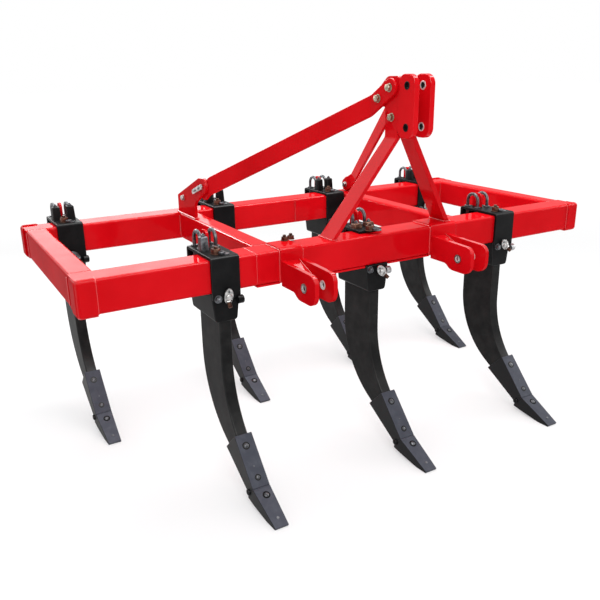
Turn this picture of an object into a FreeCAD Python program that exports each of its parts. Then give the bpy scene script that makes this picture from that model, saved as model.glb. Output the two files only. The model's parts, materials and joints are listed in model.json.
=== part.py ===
import FreeCAD, Part
import math
import os
import re
import Sketcher

# Seven-leg subsoiler for a category 2 three-point hitch.
# Millimetres. +X to the right seen from the tractor, +Y away from the tractor, +Z up.
# Origin: on the ground, under the centre of the machine's plan rectangle.

doc = FreeCAD.newDocument("Subsoiler")
sheet = doc.addObject("Spreadsheet::Sheet", "Sizes")

SIZES = {
    # frame of square and flat tubes
    "frameLength": 2720,
    "beamSpacing": 1000,
    "beamTop": 1010,
    "beamDepth": 140,
    "beamHeight": 140,
    "beamWall": 8,
    "beamCorner": 14,
    "sideWidth": 100,
    "crossWidth": 92,
    "crossOffset": 530,
    "endPlate": 8,
    "sleeveReach": 70,
    "sleeveWall": 8,
    "sleeveTop": 5,
    "sleeveLip": 20,
    "sleeveRound": 18,
    "doublerReach": 622,
    "doublerThick": 8,
    "doublerGap": 3,
    # lower hitch
    "hitchSpan": 825,
    "hitchShift": 45,
    "lowerPinAhead": 198,
    "lowerPinDrop": 116,
    "lowerBore": 28.8,
    "clevisGap": 68,
    "earThick": 20,
    "earNose": 64,
    "earLip": 84,
    "earTop": 44,
    "earNeck": 112,
    "collarWall": 8,
    "collarExtra": 48,
    "webThick": 12,
    "webReach": 138,
    "ringWall": 6,
    "ringThick": 4,
    # mast
    "topPinAhead": 238,
    "mastHoleLow": 494,
    "mastHoleHigh": 656,
    "topBore": 25.8,
    "yokeGap": 56,
    "yokeThick": 25,
    "yokeWidth": 106,
    "yokeEnd": 44,
    "yokeRound": 42,
    "legThick": 20,
    "legFootLeft": 227,
    "legFootRight": 430,
    "legFootWidth": 106,
    "legBendHeight": 448,
    "headWidth": 82,
    "lugRound": 45,
    "spacerOuter": 42,
    "spacerBore": 22,
    "lowSpacerHeight": 530,
    # braces from the mast head to the rear beam
    "braceThick": 16,
    "braceWidth": 75,
    "braceFrontAhead": 142,
    "braceFrontHeight": 647,
    "braceBoltPitch": 87,
    "braceRearAhead": 292,
    "braceRearHeight": 148,
    "braceFarBehind": 62,
    "braceFarHeight": 42,
    "braceTab": 130,
    "bracketThick": 16,
    "bracketFootAhead": 200,
    "bracketOnBeam": 35,
    "bracketBack": 94,
    "bracketHead": 162,
    "bracketRound": 46,
    "boltHole": 22,
    # legs and their clamps
    "shankSpacing": 385,
    "frontRightShift": 28,
    "rearLeftShift": 64,
    "rearRightShift": 30,
    "farRightShift": 27,
    "clampWidth": 126,
    "clampPlate": 14,
    "clampLap": 26,
    "seatGap": 0.3,
    "socketDrop": 268,
    "middleClampSetback": 56,
    "socketWall": 16,
    "socketTaper": 12,
    "socketRound": 16,
    "shankThick": 54,
    "shankWidth": 214,
    "shankFrontBend": 460,
    "shankBackBend": 420,
    "shankInset": 5,
    "guardWidth": 80,
    "guardWall": 12,
    "guardAhead": 108,
    "guardHeight": 264,
    "guardRearAhead": 14,
    "guardRearHeight": 170,
    "footAhead": 266,
    "footHeight": 92,
    "footRearAhead": 221,
    "footRearHeight": 50,
    "flatAhead": 376,
    "heelAhead": 216,
    "heelHeight": 26,
    "tipReach": 442,
    "tipWidth": 62,
    "tipThick": 9,
    # clamp hardware
    "loopBar": 16,
    "loopOffset": 34,
    "loopReach": 72,
    "loopHeight": 84,
    "loopBeamGap": 6,
    "loopWallGap": 2,
    "keyThick": 12,
    "keyHeight": 72,
}

for row, (alias, size) in enumerate(SIZES.items(), start=1):
    sheet.set(f"A{row}", alias)
    sheet.set(f"B{row}", str(size))
    sheet.setAlias(f"B{row}", alias)
doc.recompute()

# Clamp length behind the beam's face: the beam, the U-bolts and the clamp's rear wall.
CLAMP_REACH = "(beamDepth + loopBeamGap + loopBar + loopReach + loopWallGap + clampPlate)"
# Y of the front face of the front beam and of the rear beam.
FRONT = f"((tipReach - beamSpacing - {CLAMP_REACH}) / 2)"
REAR = f"({FRONT} + beamSpacing)"

nodes = []


def bind(text):
    return re.sub(r"[A-Za-z]\w*", lambda m: f"Sizes.{m[0]}" if m[0] in SIZES else m[0], str(text))


def number(text):
    found = sheet.evalExpression(bind(text))
    return float(getattr(found, "Value", found))


def place(item, x=0, y=0, z=0):
    for axis, text in (("x", x), ("y", y), ("z", z)):
        item.setExpression(f"Placement.Base.{axis}", bind(text))
    return item


def node(item, label):
    item.Label = label
    nodes.append(item)
    return item


def new_body(name):
    return doc.addObject("PartDesign::Body", name)


def new_sketch(body, plane, name):
    sketch = body.newObject("Sketcher::SketchObject", f"{body.Name}_{name}")
    origin_plane = next(f for f in body.Origin.OriginFeatures if f.Role == plane)
    sketch.AttachmentSupport = [(origin_plane, "")]
    sketch.MapMode = "FlatFace"
    return sketch


def rule(sketch, *terms):
    """Adds a constraint whose last term is an expression."""
    *where, text = terms
    index = sketch.addConstraint(Sketcher.Constraint(*where, number(text)))
    sketch.setExpression(f"Constraints[{index}]", bind(text))


def pin(sketch, geo, pos, x, y):
    rule(sketch, "DistanceX", -1, 1, geo, pos, x)
    rule(sketch, "DistanceY", -1, 1, geo, pos, y)


def corner_cut(before, at, after, radius):
    """Tangent points of the round at a corner, its centre and the turn's sign."""
    arrive = (at - before).normalize()
    leave = (after - at).normalize()
    turn = arrive.cross(leave).z
    if radius == 0:
        return at, at, None, turn
    half = arrive.getAngle(leave) / 2
    reach = radius * math.tan(half)
    inward = (leave - arrive).normalize()
    centre = at + inward * (radius / math.cos(half))
    return at - arrive * reach, at + leave * reach, centre, turn


def outline(sketch, corners):
    """Closed outline through corners (x, y) or (x, y, radius), all given as expressions."""
    spots = [FreeCAD.Vector(number(c[0]), number(c[1]), 0) for c in corners]
    radii = [number(c[2]) if len(c) > 2 else 0 for c in corners]
    count = len(corners)
    cuts = [corner_cut(spots[i - 1], spots[i], spots[(i + 1) % count], radii[i]) for i in range(count)]
    sides = [sketch.addGeometry(Part.LineSegment(cuts[i][1], cuts[(i + 1) % count][0]))
             for i in range(count)]
    for i, corner in enumerate(corners):
        before, after = sides[i - 1], sides[i]
        start, end, centre, turn = cuts[i]
        if centre is None:
            sketch.addConstraint(Sketcher.Constraint("Coincident", before, 2, after, 1))
            pin(sketch, after, 1, corner[0], corner[1])
            continue
        circle = Part.Circle(centre, FreeCAD.Vector(0, 0, 1), radii[i])
        first, last = (start, end) if turn > 0 else (end, start)
        arc = sketch.addGeometry(
            Part.ArcOfCircle(circle, circle.parameter(first), circle.parameter(last)))
        near, far = (1, 2) if turn > 0 else (2, 1)
        vertex = sketch.addGeometry(Part.Point(spots[i]), True)
        sketch.addConstraint(Sketcher.Constraint("Tangent", before, 2, arc, near))
        sketch.addConstraint(Sketcher.Constraint("Tangent", arc, far, after, 1))
        sketch.addConstraint(Sketcher.Constraint("PointOnObject", vertex, 1, before))
        sketch.addConstraint(Sketcher.Constraint("PointOnObject", vertex, 1, after))
        pin(sketch, vertex, 1, corner[0], corner[1])
        rule(sketch, "Radius", arc, corner[2])
    return sketch


def rectangle(sketch, x0, y0, x1, y1, radius="0"):
    corners = ((x0, y0), (x1, y0), (x1, y1), (x0, y1))
    if number(radius) > 0:
        corners = tuple((x, y, radius) for x, y in corners)
    return outline(sketch, corners)


def hole(sketch, x, y, diameter):
    centre = FreeCAD.Vector(number(x), number(y), 0)
    ring = sketch.addGeometry(Part.Circle(centre, FreeCAD.Vector(0, 0, 1), number(diameter) / 2))
    pin(sketch, ring, 3, x, y)
    rule(sketch, "Diameter", ring, diameter)


def pad(body, sketch, length, symmetric=True):
    feature = body.newObject("PartDesign::Pad", f"{sketch.Name}_pad")
    feature.Profile = sketch
    feature.SideType = "Symmetric" if symmetric else "One side"
    feature.setExpression("Length", bind(length))
    return feature


def pocket(body, sketch, length):
    """Symmetric cut about the sketch's plane."""
    feature = body.newObject("PartDesign::Pocket", f"{sketch.Name}_pocket")
    feature.Profile = sketch
    feature.SideType = "Symmetric"
    feature.setExpression("Length", bind(length))
    return feature


def plate(name, corners, thick, holes=(), plane="YZ_Plane"):
    """Plate of an outline with round holes, half its thickness each side of its plane."""
    body = new_body(name)
    sketch = outline(new_sketch(body, plane, "outline"), corners)
    for x, y, diameter in holes:
        hole(sketch, x, y, diameter)
    pad(body, sketch, thick)
    return body


def tube(name, plane, corners, wall, corner, length, symmetric=True):
    """Rectangular tube: corners are its opposite corners in the sketch's plane."""
    x0, y0, x1, y1 = corners
    body = new_body(name)
    sketch = new_sketch(body, plane, "section")
    rectangle(sketch, x0, y0, x1, y1, corner)
    rectangle(sketch, f"{x0} + {wall}", f"{y0} + {wall}", f"{x1} - {wall}", f"{y1} - {wall}",
              f"{corner} - {wall}")
    pad(body, sketch, length, symmetric)
    return body


def together(label, parts):
    """Like pieces that share one node."""
    group = doc.addObject("Part::Compound", label)
    group.Links = parts
    return node(group, label)


def joined(label, parts):
    """Welded plates that make one piece."""
    weld = doc.addObject("Part::MultiFuse", label)
    weld.Shapes = parts
    return node(weld, label)


def common(label, base, tool):
    bar = doc.addObject("Part::Common", label)
    bar.Base = base
    bar.Tool = tool
    return node(bar, label)


# ---- frame: two beams, two side tubes, two cross tubes -------------------------------------

def build_beams():
    for label, face in (("front_beam", FRONT), ("rear_beam", REAR)):
        beam = tube(label, "YZ_Plane", ("0", "-beamHeight", "beamDepth", "0"), "beamWall",
                    "beamCorner", "frameLength")
        place(node(beam, label), 0, face, "beamTop")


def build_beam_ends():
    """Plates that close the tube ends, let in flush."""
    plates = []
    for side in (-1, 1):
        for face in (FRONT, REAR):
            body = new_body("end_plate")
            sketch = new_sketch(body, "YZ_Plane", "outline")
            rectangle(sketch, "beamWall", "beamWall - beamHeight", "beamDepth - beamWall", "-beamWall",
                      "beamCorner - beamWall")
            pad(body, sketch, "endPlate")
            plates.append(place(body, f"{side} * (frameLength - endPlate) / 2", face, "beamTop"))
    together("beam_end_plates", plates)


def build_long_tubes():
    """Tubes from the back of the front beam to the face of the rear one."""
    places = {
        "side_tube": ("sideWidth", "(frameLength - sideWidth) / 2"),
        "cross_tube": ("crossWidth", "crossOffset"),
    }
    for kind, (width, offset) in places.items():
        for hand, side in (("left", -1), ("right", 1)):
            body = tube(f"{kind}_{hand}", "XZ_Plane",
                        (f"-{width} / 2", "-beamHeight", f"{width} / 2", "0"), "beamWall",
                        "beamCorner", "beamSpacing - beamDepth", symmetric=False)
            place(node(body, f"{kind}_{hand}"), f"{side} * {offset}", REAR, "beamTop")


def build_corner_sleeves():
    """Shoes over the four frame corners, open inwards and at the top but for a lip."""
    for row, face, back in (("front", FRONT, -1), ("rear", REAR, 1)):
        edge = face if back < 0 else f"({face} + beamDepth)"
        for hand, side in (("left", -1), ("right", 1)):
            body = new_body(f"corner_sleeve_{row}_{hand}")
            sketch = new_sketch(body, "XY_Plane", "outline")
            across = ("-sleeveReach", "sleeveWall")
            x0, x1 = across if side > 0 else ("-sleeveWall", "sleeveReach")
            y0, y1 = across if back > 0 else ("-sleeveWall", "sleeveReach")
            rectangle(sketch, x0, y0, x1, y1)
            block = pad(body, sketch, "beamHeight + sleeveWall + sleeveTop", symmetric=False)
            doc.recompute()
            edges = outer_edges(block, body, side, back)
            soften = body.newObject("PartDesign::Fillet", f"{body.Name}_round")
            soften.Base = (block, edges)
            soften.setExpression("Radius", bind("sleeveRound"))
            hollow = new_sketch(body, "YZ_Plane", "hollow")
            inward = -back
            top = "sleeveWall + beamHeight"
            opening = (
                ("0", "sleeveWall", "beamCorner"),
                (f"{inward} * beamDepth", "sleeveWall"),
                (f"{inward} * beamDepth", f"{top} + 2 * sleeveTop"),
                (f"{inward} * sleeveLip", f"{top} + 2 * sleeveTop"),
                (f"{inward} * sleeveLip", top),
                ("0", top, "beamCorner"),
            )
            outline(hollow, opening)
            cut = body.newObject("PartDesign::Pocket", f"{hollow.Name}_cut")
            cut.Profile = hollow
            cut.SideType = "One side"
            cut.Reversed = side < 0
            cut.setExpression("Length", bind("sleeveReach"))
            place(node(body, f"corner_sleeve_{row}_{hand}"), f"{side} * frameLength / 2", edge,
                  "beamTop - beamHeight - sleeveWall")


def outer_edges(block, body, side, back):
    """Edges of a corner block that bound its end face, its outer face or both."""
    box = block.Shape.BoundBox
    end_x = box.XMax if side > 0 else box.XMin
    face_y = box.YMax if back > 0 else box.YMin
    names = []
    for index, edge in enumerate(block.Shape.Edges, start=1):
        ends = [v.Point for v in edge.Vertexes]
        on_end = all(abs(p.x - end_x) < 1e-6 for p in ends)
        on_face = all(abs(p.y - face_y) < 1e-6 for p in ends)
        vertical = abs(ends[0].z - ends[1].z) > 1e-6
        if (on_end and on_face) or ((on_end or on_face) and not vertical):
            names.append(f"Edge{index}")
    return names


def build_doublers():
    """Strips under the front beam, between the collars and the sockets."""
    collar_left = COLLARS["left"]
    collar_right = COLLARS["right"]
    middle = "(clampWidth / 2 + doublerGap)"
    runs = (
        ("-doublerReach", f"{collar_left[0]} - {collar_left[1]} / 2"),
        (f"{collar_left[0]} + {collar_left[1]} / 2", f"-{middle}"),
        (middle, f"{collar_right[0]} - {collar_right[1]} / 2"),
        (f"{collar_right[0]} + {collar_right[1]} / 2", "doublerReach"),
    )
    strips = []
    for x0, x1 in runs:
        body = new_body("doubler")
        sketch = new_sketch(body, "XY_Plane", "outline")
        rectangle(sketch, x0, "doublerGap", x1, "beamDepth - doublerGap")
        pad(body, sketch, "doublerThick", symmetric=False)
        strips.append(place(body, 0, FRONT, "beamTop - beamHeight - doublerThick"))
    together("beam_doublers", strips)


# ---- three-point hitch ------------------------------------------------------------------------

# Centre of each lower hitch; the pair sits left of the frame's middle.
HITCHES = {"left": "(-hitchShift - hitchSpan / 2)", "right": "(hitchSpan / 2 - hitchShift)"}
# Centre and width of each collar; the right one also carries the right mast leg.
COLLARS = {
    "left": (HITCHES["left"], "(clevisGap + 2 * earThick)"),
    "right": (f"({HITCHES['right']} + collarExtra / 2)", "(clevisGap + 2 * earThick + collarExtra)"),
}


def build_collars():
    """Channels welded over the top, face and bottom of the front beam."""
    back = "beamDepth - beamCorner"
    low = "-beamHeight - collarWall"
    outer = "beamCorner + collarWall"
    section = (
        (back, "0"),
        (back, "collarWall"),
        ("-collarWall", "collarWall", outer),
        ("-collarWall", low, outer),
        (back, low),
        (back, "-beamHeight"),
        ("0", "-beamHeight", "beamCorner"),
        ("0", "0", "beamCorner"),
    )
    for hand, (centre, width) in COLLARS.items():
        collar = plate(f"hitch_collar_{hand}", section, width)
        place(node(collar, f"hitch_collar_{hand}"), centre, FRONT, "beamTop")


def build_lower_hitch():
    pin_spot = ("-lowerPinAhead", "-lowerPinDrop")
    back = "-collarWall"
    ear = (
        (back, "-earTop"),
        ("-lowerPinAhead - earLip", "earNose - lowerPinDrop", "0.6 * earNose"),
        ("-lowerPinAhead - earLip", "-lowerPinDrop - earNose", "0.8 * earNose"),
        ("-lowerPinAhead + 0.8 * earNose", "-lowerPinDrop - earNose", "0.9 * earNose"),
        ("-lowerPinAhead + 1.3 * earNose", "-earTop - earNeck", "0.6 * earNose"),
        (back, "-earTop - earNeck"),
    )
    web = (
        (back, "-earTop - 4"),
        ("-webReach", "-earTop - 52"),
        ("-webReach", "-earTop - 52 - webThick"),
        (back, "-earTop - 6 - webThick"),
    )
    for hand, centre in HITCHES.items():
        pieces = []
        for ear_side in (-1, 1):
            body = plate("ear", ear, "earThick", [(*pin_spot, "lowerBore")])
            ear_x = f"{centre} + {ear_side} * (clevisGap + earThick) / 2"
            pieces.append(place(body, ear_x, FRONT, "beamTop"))
        body = plate("web", web, "clevisGap")
        pieces.append(place(body, centre, FRONT, "beamTop"))
        joined(f"lower_hitch_{hand}", pieces)


def build_pin_rings():
    """Hardened rings on the outsides of the lower hitch ears."""
    rings = []
    for centre in HITCHES.values():
        for ear_side in (-1, 1):
            body = new_body("ring")
            sketch = new_sketch(body, "YZ_Plane", "section")
            hole(sketch, "-lowerPinAhead", "-lowerPinDrop", "lowerBore + 2 * ringWall")
            hole(sketch, "-lowerPinAhead", "-lowerPinDrop", "lowerBore")
            pad(body, sketch, "ringThick")
            offset = f"{ear_side} * ((clevisGap + ringThick) / 2 + earThick)"
            rings.append(place(body, f"{centre} + {offset}", FRONT, "beamTop"))
    together("lower_pin_rings", rings)


# ---- mast --------------------------------------------------------------------------------------

YOKE_BACK = "(topPinAhead - yokeWidth / 2 - 5)"
HEAD_CENTRE = "(yokeGap / 2 + yokeThick / 2)"


def build_yoke_plates():
    front = f"-{YOKE_BACK} - yokeWidth"
    back = f"-{YOKE_BACK}"
    low = "mastHoleLow - yokeEnd"
    high = "mastHoleHigh + yokeEnd"
    corners = ((front, low, "yokeRound"), (back, low, "yokeRound"),
               (back, high, "yokeRound"), (front, high, "yokeRound"))
    holes = [("-topPinAhead", "mastHoleLow", "topBore"), ("-topPinAhead", "mastHoleHigh", "topBore")]
    for hand, side in (("left", -1), ("right", 1)):
        body = plate(f"top_link_plate_{hand}", corners, "yokeThick", holes)
        place(node(body, f"top_link_plate_{hand}"), f"{side} * {HEAD_CENTRE}", FRONT, "beamTop")


def build_mast_legs():
    """Flat bars bent at the head: a front-view strip and a side-view outline, intersected."""
    head_front = f"-{YOKE_BACK}"
    head_back = f"-{YOKE_BACK} + headWidth"
    foot_front = "(beamDepth - legFootWidth) / 2"
    bolt_back = "-braceFrontAhead + braceBoltPitch"
    holes = [("-braceFrontAhead", "braceFrontHeight", "boltHole"),
             ("-braceFrontAhead", "lowSpacerHeight", "boltHole")]
    half = "legThick / 2"
    # the left foot stands on the beam, the right one on the right collar
    feet = {"left": (-1, "legFootLeft", "0"), "right": (1, "legFootRight", "collarWall")}
    for hand, (side, foot, level) in feet.items():
        side_view = (
            (foot_front, level),
            (f"{foot_front} + legFootWidth", level),
            (head_back, "legBendHeight", "30"),
            (head_back, "lowSpacerHeight + 40", "10"),
            (f"{bolt_back} + 26", "lowSpacerHeight + 40", "20"),
            (f"{bolt_back} + 26", "braceFrontHeight - 20", "20"),
            ("-braceFrontAhead + 0.7 * lugRound", "braceFrontHeight + lugRound", "0.8 * lugRound"),
            (head_front, "braceFrontHeight + lugRound", "12"),
            (head_front, "legBendHeight", "30"),
        )
        lean = f"atan(({foot} - {HEAD_CENTRE}) / (legBendHeight - {level}))"
        skew = f"{half} * tan({lean} / 2)"
        foot_half = f"{half} / cos({lean})"
        profile = new_body(f"leg_side_view_{hand}")
        sketch = outline(new_sketch(profile, "YZ_Plane", "outline"), side_view)
        for x, z, diameter in holes:
            hole(sketch, x, z, diameter)
        pad(profile, sketch, f"2 * {foot} + 4 * legThick")
        strip = new_body(f"leg_front_view_{hand}")
        top = "braceFrontHeight + 2 * lugRound"
        front_view = (
            (f"{side} * ({foot} - {foot_half})", level),
            (f"{side} * ({foot} + {foot_half})", level),
            (f"{side} * ({HEAD_CENTRE} + {half})", f"legBendHeight + {skew}", "2 * legThick"),
            (f"{side} * ({HEAD_CENTRE} + {half})", top),
            (f"{side} * ({HEAD_CENTRE} - {half})", top),
            (f"{side} * ({HEAD_CENTRE} - {half})", f"legBendHeight - {skew}", "legThick"),
        )
        pad(strip, outline(new_sketch(strip, "XZ_Plane", "outline"), front_view), "2 * beamSpacing")
        for body in (profile, strip):
            place(body, 0, FRONT, "beamTop")
        common(f"mast_leg_{hand}", profile, strip)


def build_spacers():
    """Tubes that hold the two mast heads apart."""
    tubes = []
    for height in ("lowSpacerHeight", "braceFrontHeight"):
        body = new_body("spacer")
        sketch = new_sketch(body, "YZ_Plane", "section")
        hole(sketch, "-braceFrontAhead", height, "spacerOuter")
        hole(sketch, "-braceFrontAhead", height, "spacerBore")
        pad(body, sketch, f"2 * {HEAD_CENTRE} - legThick")
        tubes.append(place(body, 0, FRONT, "beamTop"))
    together("mast_spacers", tubes)


BRACE_FRONT_X = f"({HEAD_CENTRE} + legThick / 2 + braceThick / 2)"
# Rear bolt of each brace, behind the front beam's face and above the beams' tops.
BRACE_ENDS = {
    "left": ("(beamSpacing - braceRearAhead)", "braceRearHeight"),
    "right": ("(beamSpacing + braceFarBehind)", "braceFarHeight"),
}
BRACKET_X = "(crossOffset + crossWidth / 2 - bracketThick)"
BRACE_REAR_X = f"({BRACKET_X} - bracketThick / 2 - braceThick / 2)"


def build_brackets():
    """Lugs for the rear ends of the braces: one leans ahead of the rear beam, one stands on it."""
    foot_front = "(beamSpacing - bracketFootAhead)"
    foot_rear = "(beamSpacing + bracketOnBeam)"
    near, near_level = BRACE_ENDS["left"]
    far, far_level = BRACE_ENDS["right"]
    leaning = (
        (foot_rear, "0"),
        (foot_rear, "bracketBack", "12"),
        (f"{near} + 0.4 * bracketRound", "bracketHead + 1.25 * bracketRound", "0.4 * bracketRound"),
        (f"{near} - 1.1 * bracketRound", "bracketHead + 1.35 * bracketRound", "0.4 * bracketRound"),
        (f"{near} - 1.6 * bracketRound", "bracketHead + 0.1 * bracketRound", "0.7 * bracketRound"),
        (foot_front, "0.5 * bracketHead", "bracketRound"),
        (foot_front, "0"),
    )
    standing = (
        (f"{far} - bracketRound", "0"),
        (f"{far} + bracketRound", "0"),
        (f"{far} + bracketRound", f"{far_level} + bracketRound", "0.9 * bracketRound"),
        (f"{far} - bracketRound", f"{far_level} + bracketRound", "0.9 * bracketRound"),
    )
    lugs = {
        "left": (-1, leaning, [(near, near_level, "boltHole"),
                               (f"{foot_rear} - 85", "bracketBack - 5", "boltHole")]),
        "right": (1, standing, [(far, far_level, "boltHole")]),
    }
    for hand, (side, corners, holes) in lugs.items():
        body = plate(f"brace_bracket_{hand}", corners, "bracketThick", holes)
        place(node(body, f"brace_bracket_{hand}"), f"{side} * {BRACKET_X}", FRONT, "beamTop")


def build_braces():
    """Flat bars with both ends bent parallel: a plan strip and a side outline, intersected."""
    front = ("(-braceFrontAhead)", "braceFrontHeight")
    bend_front = "(braceTab - braceFrontAhead)"
    half = "braceThick / 2"
    for hand, side in (("left", -1), ("right", 1)):
        rear = BRACE_ENDS[hand]
        fall = f"atan((braceFrontHeight - {rear[1]}) / (braceFrontAhead + {rear[0]}))"
        profile = new_body(f"brace_side_view_{hand}")
        sketch = outline(new_sketch(profile, "YZ_Plane", "outline"), brace_outline(front, rear, fall))
        hole(sketch, *front, "boltHole")
        hole(sketch, *rear, "boltHole")
        hole(sketch, f"{front[0]} + braceBoltPitch * cos({fall})",
             f"{front[1]} - braceBoltPitch * sin({fall})", "boltHole")
        pad(profile, sketch, "4 * crossOffset")
        bend_rear = f"({rear[0]} - braceTab / 2)"
        run = f"atan(({BRACE_REAR_X} - {BRACE_FRONT_X}) / ({bend_rear} - {bend_front}))"
        skew = f"{half} * tan({run} / 2)"
        ahead = f"{front[0]} - 2 * braceWidth"
        behind = f"{rear[0]} + 2 * braceWidth"
        strip = new_body(f"brace_plan_{hand}")
        plan = (
            (f"{side} * ({BRACE_FRONT_X} - {half})", ahead),
            (f"{side} * ({BRACE_FRONT_X} + {half})", ahead),
            (f"{side} * ({BRACE_FRONT_X} + {half})", f"{bend_front} - {skew}", "braceThick"),
            (f"{side} * ({BRACE_REAR_X} + {half})", f"{bend_rear} - {skew}", "2 * braceThick"),
            (f"{side} * ({BRACE_REAR_X} + {half})", behind),
            (f"{side} * ({BRACE_REAR_X} - {half})", behind),
            (f"{side} * ({BRACE_REAR_X} - {half})", f"{bend_rear} + {skew}", "braceThick"),
            (f"{side} * ({BRACE_FRONT_X} - {half})", f"{bend_front} + {skew}", "2 * braceThick"),
        )
        pad(strip, outline(new_sketch(strip, "XY_Plane", "outline"), plan), "4 * braceFrontHeight")
        for body in (profile, strip):
            place(body, 0, FRONT, "beamTop")
        common(f"brace_{hand}", profile, strip)


def brace_outline(front, rear, fall):
    """Side view of a sloping bar whose rounded ends are centred on two spots."""
    half_width = "braceWidth / 2"
    along = f"{half_width} * cos({fall})"
    across = f"{half_width} * sin({fall})"
    corners = []
    for (y, z), forward, up in ((front, 1, 1), (front, 1, -1), (rear, -1, -1), (rear, -1, 1)):
        corners.append((f"{y} - {forward} * {along} + {up} * {across}",
                        f"{z} + {forward} * {across} + {up} * {along}", f"0.98 * {half_width}"))
    return corners


# ---- one leg: clamp, socket, shank, shin guard, point -----------------------------------------

# Angle of the guard's front face from the ground, and the depth of its front wall along Y and Z.
SWEEP = "atan((guardHeight - footHeight) / (footAhead - guardAhead))"
WALL_Y = f"(guardWall * sin({SWEEP}))"
WALL_Z = f"(guardWall * cos({SWEEP}))"
GAP_Y = f"(seatGap * sin({SWEEP}))"
GAP_Z = f"(seatGap * cos({SWEEP}))"
# Angle of the shank's back edge inside the guard.
BACK_SWEEP = "atan((guardRearHeight - footRearHeight) / (footRearAhead - guardRearAhead))"
INSET_Y = f"(shankInset * sin({BACK_SWEEP}))"
INSET_Z = f"(shankInset * cos({BACK_SWEEP}))"
SHANK_FRONT = "(socketWall + seatGap)"
SHANK_BACK = "(socketWall + shankWidth - seatGap)"
LOOP_FRONT = "(beamDepth + loopBeamGap + loopBar / 2)"


def build_clamp(label, x, face, middle):
    """Saddle bent over the beam; the middle one leaves the beam's face bare."""
    bottom = "-beamHeight - clampLap"
    seat = "-beamHeight - seatGap"
    top = "clampPlate + seatGap"
    rear = (
        (CLAMP_REACH, top, "clampPlate"),
        (CLAMP_REACH, seat),
        (f"{CLAMP_REACH} - clampPlate", seat),
        (f"{CLAMP_REACH} - clampPlate", "seatGap", "3"),
    )
    if middle:
        corners = (("middleClampSetback", "seatGap"), ("middleClampSetback", top, "5"), *rear)
    else:
        corners = (
            ("-clampPlate - seatGap", bottom),
            ("-clampPlate - seatGap", top, "clampPlate"),
            *rear,
            ("-seatGap", "seatGap", "3"),
            ("-seatGap", bottom),
        )
    body = plate(label, corners, "clampWidth")
    bores = new_sketch(body, "XY_Plane", "loop_bores")
    for side in (-1, 1):
        for y in (LOOP_FRONT, f"{LOOP_FRONT} + loopReach"):
            hole(bores, f"{side} * loopOffset", y, "loopBar + 2 * seatGap")
    pocket(body, bores, "4 * clampPlate")
    return place(node(body, label), x, face, "beamTop")


def build_socket(x, face):
    """Cast socket under the beam: tapered box with a slot for the shank."""
    top = "-beamHeight - seatGap"
    half = "(clampWidth / 2 - 1)"
    body = new_body("socket")
    sketch = outline(new_sketch(body, "XZ_Plane", "outline"), (
        (f"-{half}", top),
        (f"-{half}", f"{top} - clampLap"),
        (f"-{half} + socketTaper", "-socketDrop", "socketRound"),
        (f"{half} - socketTaper", "-socketDrop", "socketRound"),
        (half, f"{top} - clampLap"),
        (half, top),
    ))
    pad(body, sketch, f"2 * {CLAMP_REACH}")
    trim = new_sketch(body, "YZ_Plane", "trim")
    far = f"2 * {CLAMP_REACH}"
    rectangle(trim, f"-{far}", "-2 * socketDrop", "0", "0")
    rectangle(trim, CLAMP_REACH, "-2 * socketDrop", far, "0")
    pocket(body, trim, "2 * clampWidth")
    slot = new_sketch(body, "YZ_Plane", "slot")
    rectangle(slot, "socketWall", "-2 * socketDrop", "socketWall + shankWidth", f"{top} - socketWall")
    pocket(body, slot, "shankThick + 2 * seatGap")
    return place(body, x, face, "beamTop")


def build_shank(label, x, face):
    """Curved leg cut from thick plate: straight in the socket, swept forward below."""
    top = "-beamHeight - socketWall - 2 * seatGap"
    rise = f"tan({SWEEP})"
    back_rise = f"tan({BACK_SWEEP})"
    guard_y = f"(-guardAhead + {WALL_Y} + {GAP_Y})"
    guard_z = f"(guardHeight - beamTop - {WALL_Z} - {GAP_Z})"
    foot_y = f"(-footAhead + {WALL_Y} + {GAP_Y})"
    foot_z = f"(footHeight - beamTop - {WALL_Z} - {GAP_Z})"
    back_y = f"(-footRearAhead - {INSET_Y})"
    back_z = f"(footRearHeight - beamTop + {INSET_Z})"
    corners = (
        (SHANK_FRONT, top),
        (SHANK_FRONT, f"{guard_z} + ({SHANK_FRONT} - {guard_y}) * {rise}", "shankFrontBend"),
        (f"{foot_y} + guardWall", f"{foot_z} + guardWall * {rise}"),
        (f"{back_y} + guardWall", f"{back_z} + guardWall * {back_rise}"),
        (SHANK_BACK, f"{back_z} + ({SHANK_BACK} - {back_y}) * {back_rise}", "shankBackBend"),
        (SHANK_BACK, top),
    )
    body = plate(label, corners, "shankThick")
    return place(node(body, label), x, face, "beamTop")


def build_guard(x, face):
    """Wear guard: a boot round the front and sides of the shank's lower end."""
    body = new_body("shin_guard")
    sketch = outline(new_sketch(body, "YZ_Plane", "outline"), (
        ("-guardAhead", "guardHeight - beamTop", "3"),
        ("-footAhead", "footHeight - beamTop"),
        ("-footRearAhead", "footRearHeight - beamTop"),
        ("-guardRearAhead", "guardRearHeight - beamTop", "3"),
    ))
    pad(body, sketch, "guardWidth")
    slot = new_sketch(body, "YZ_Plane", "slot")
    reach = "footHeight"
    upper = (f"{reach} * cos({SWEEP})", f"{reach} * sin({SWEEP})")
    outline(slot, (
        (f"-guardAhead + {WALL_Y} + {upper[0]}", f"guardHeight - beamTop - {WALL_Z} + {upper[1]}"),
        (f"-footAhead + {WALL_Y} - {upper[0]}", f"footHeight - beamTop - {WALL_Z} - {upper[1]}"),
        ("footAhead", f"-beamTop - {reach}"),
        ("footAhead", "2 * guardHeight - beamTop"),
    ))
    pocket(body, slot, "shankThick + 2 * seatGap")
    return place(body, x, face, "beamTop")


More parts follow.
